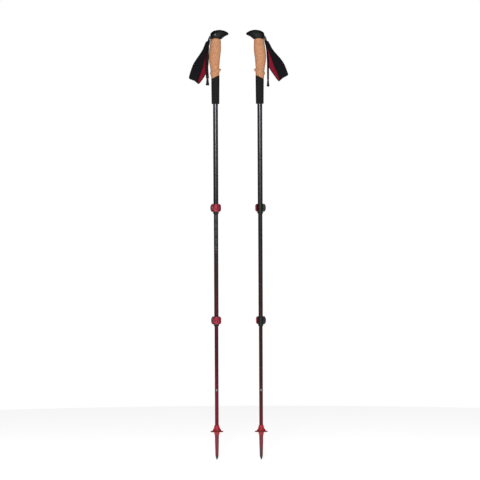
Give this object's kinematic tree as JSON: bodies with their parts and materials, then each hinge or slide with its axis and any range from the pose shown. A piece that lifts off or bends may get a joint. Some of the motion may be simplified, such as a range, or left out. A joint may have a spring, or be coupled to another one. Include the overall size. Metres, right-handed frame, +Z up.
{
  "type": "trekking poles",
  "caption": "Pair of three-section adjustable trekking poles: cork and foam grips, padded wrist straps, lever locks on the shafts, small baskets and carbide tips.",
  "frame": {"origin": "on the ground, midway between the two tips, with the poles upright at full length", "axes": "+Z up the shafts; +X from the left pole to the right pole, along the way the left grip's beak points; -Y the side that the left pole's lock levers face"},
  "size_m": [0.3235, 0.042, 1.3959],
  "materials": {
    "head_rubber": "satin moulded rubber",
    "cork": "sanded agglomerated cork",
    "foam": "closed-cell foam",
    "upper_shaft": "satin anodised, smoke grey",
    "middle_shaft": "satin anodised, smoke grey turning maroon",
    "lower_shaft": "satin anodised, maroon turning red",
    "clamp_black": "black anodised",
    "lever_red": "satin anodised red",
    "steel": "brushed",
    "black_nylon": "moulded",
    "sheath_red": "moulded",
    "basket_red": "moulded",
    "carbide": "ground",
    "strap_fabric": "padded knit with a red lining",
    "webbing": "woven"
  },
  "bodies": {
    "left_handle": {"left_grip_head": "head_rubber", "left_strap_pin": "steel", "left_cork_grip": "cork", "left_foam_grip": "foam", "left_upper_tube": "upper_shaft", "left_upper_clamp": "clamp_black", "left_upper_lever_pin": "steel", "left_upper_tension_screw": "steel", "left_upper_bushing": "black_nylon"},
    "left_wedge": {"left_strap_wedge": "black_nylon"},
    "left_wrist_strap": {"left_strap": "strap_fabric", "left_strap_tail": "webbing", "left_pull_tab": "black_nylon"},
    "left_upper_lever": {"left_upper_lever": "lever_red"},
    "left_middle_section": {"left_middle_tube": "middle_shaft", "left_middle_guide": "black_nylon", "left_lower_clamp": "clamp_black", "left_lower_lever_pin": "steel", "left_lower_tension_screw": "steel", "left_lower_bushing": "black_nylon"},
    "left_lower_lever": {"left_lower_lever": "lever_red"},
    "left_lower_section": {"left_lower_tube": "lower_shaft", "left_lower_guide": "black_nylon", "left_tip_sheath": "sheath_red", "left_tip_ferrule": "steel", "left_carbide_tip": "carbide"},
    "left_basket": {"left_basket": "basket_red"},
    "right_handle": {"right_grip_head": "head_rubber", "right_strap_pin": "steel", "right_cork_grip": "cork", "right_foam_grip": "foam", "right_upper_tube": "upper_shaft", "right_upper_clamp": "clamp_black", "right_upper_lever_pin": "steel", "right_upper_tension_screw": "steel", "right_upper_bushing": "black_nylon"},
    "right_wedge": {"right_strap_wedge": "black_nylon"},
    "right_wrist_strap": {"right_strap": "strap_fabric", "right_strap_tail": "webbing", "right_pull_tab": "black_nylon"},
    "right_upper_lever": {"right_upper_lever": "lever_red"},
    "right_middle_section": {"right_middle_tube": "middle_shaft", "right_middle_guide": "black_nylon", "right_lower_clamp": "clamp_black", "right_lower_lever_pin": "steel", "right_lower_tension_screw": "steel", "right_lower_bushing": "black_nylon"},
    "right_lower_lever": {"right_lower_lever": "lever_red"},
    "right_lower_section": {"right_lower_tube": "lower_shaft", "right_lower_guide": "black_nylon", "right_tip_sheath": "sheath_red", "right_tip_ferrule": "steel", "right_carbide_tip": "carbide"},
    "right_basket": {"right_basket": "basket_red"}
  },
  "joints": [
    {"name": "right_pole_apart", "type": "slide", "parent": "left_handle", "child": "right_handle", "axis": [1, 0, 0], "range_m": [-0.03, 0.3]},
    {"name": "left_middle_slide", "type": "slide", "parent": "left_handle", "child": "left_middle_section", "axis": [0, 0, 1], "range_m": [0, 0.33]},
    {"name": "left_lower_slide", "type": "slide", "parent": "left_middle_section", "child": "left_lower_section", "axis": [0, 0, 1], "range_m": [0, 0.318]},
    {"name": "left_upper_lever_turn", "type": "hinge", "parent": "left_handle", "child": "left_upper_lever", "pos_m": [-0.0832, -0.00983, 0.818], "axis": [0, 0, -1], "range_deg": [0, 125]},
    {"name": "left_lower_lever_turn", "type": "hinge", "parent": "left_middle_section", "child": "left_lower_lever", "pos_m": [-0.0822, -0.00944, 0.4525], "axis": [0, 0, -1], "range_deg": [0, 125]},
    {"name": "left_strap_swing", "type": "hinge", "parent": "left_handle", "child": "left_wrist_strap", "pos_m": [-0.0875, 0, 1.372], "axis": [0, 1, 0], "range_deg": [0, 60]},
    {"name": "left_wedge_pull", "type": "slide", "parent": "left_handle", "child": "left_wedge", "axis": [-1, 0, 0], "range_m": [0, 0.007]},
    {"name": "left_basket_turn", "type": "hinge", "parent": "left_lower_section", "child": "left_basket", "pos_m": [-0.072, 0, 0.092], "axis": [0, 0, 1], "range_deg": [0, 180]},
    {"name": "right_middle_slide", "type": "slide", "parent": "right_handle", "child": "right_middle_section", "axis": [0, 0, 1], "range_m": [0, 0.33]},
    {"name": "right_lower_slide", "type": "slide", "parent": "right_middle_section", "child": "right_lower_section", "axis": [0, 0, 1], "range_m": [0, 0.318]},
    {"name": "right_upper_lever_turn", "type": "hinge", "parent": "right_handle", "child": "right_upper_lever", "pos_m": [0.0832, 0.00983, 0.818], "axis": [0, 0, -1], "range_deg": [0, 125]},
    {"name": "right_lower_lever_turn", "type": "hinge", "parent": "right_middle_section", "child": "right_lower_lever", "pos_m": [0.0822, 0.00944, 0.4525], "axis": [0, 0, -1], "range_deg": [0, 125]},
    {"name": "right_strap_swing", "type": "hinge", "parent": "right_handle", "child": "right_wrist_strap", "pos_m": [0.0875, 0, 1.372], "axis": [0, -1, 0], "range_deg": [0, 60]},
    {"name": "right_wedge_pull", "type": "slide", "parent": "right_handle", "child": "right_wedge", "axis": [1, 0, 0], "range_m": [0, 0.007]},
    {"name": "right_basket_turn", "type": "hinge", "parent": "right_lower_section", "child": "right_basket", "pos_m": [0.072, 0, 0.092], "axis": [0, 0, 1], "range_deg": [0, 180]}
  ]
}
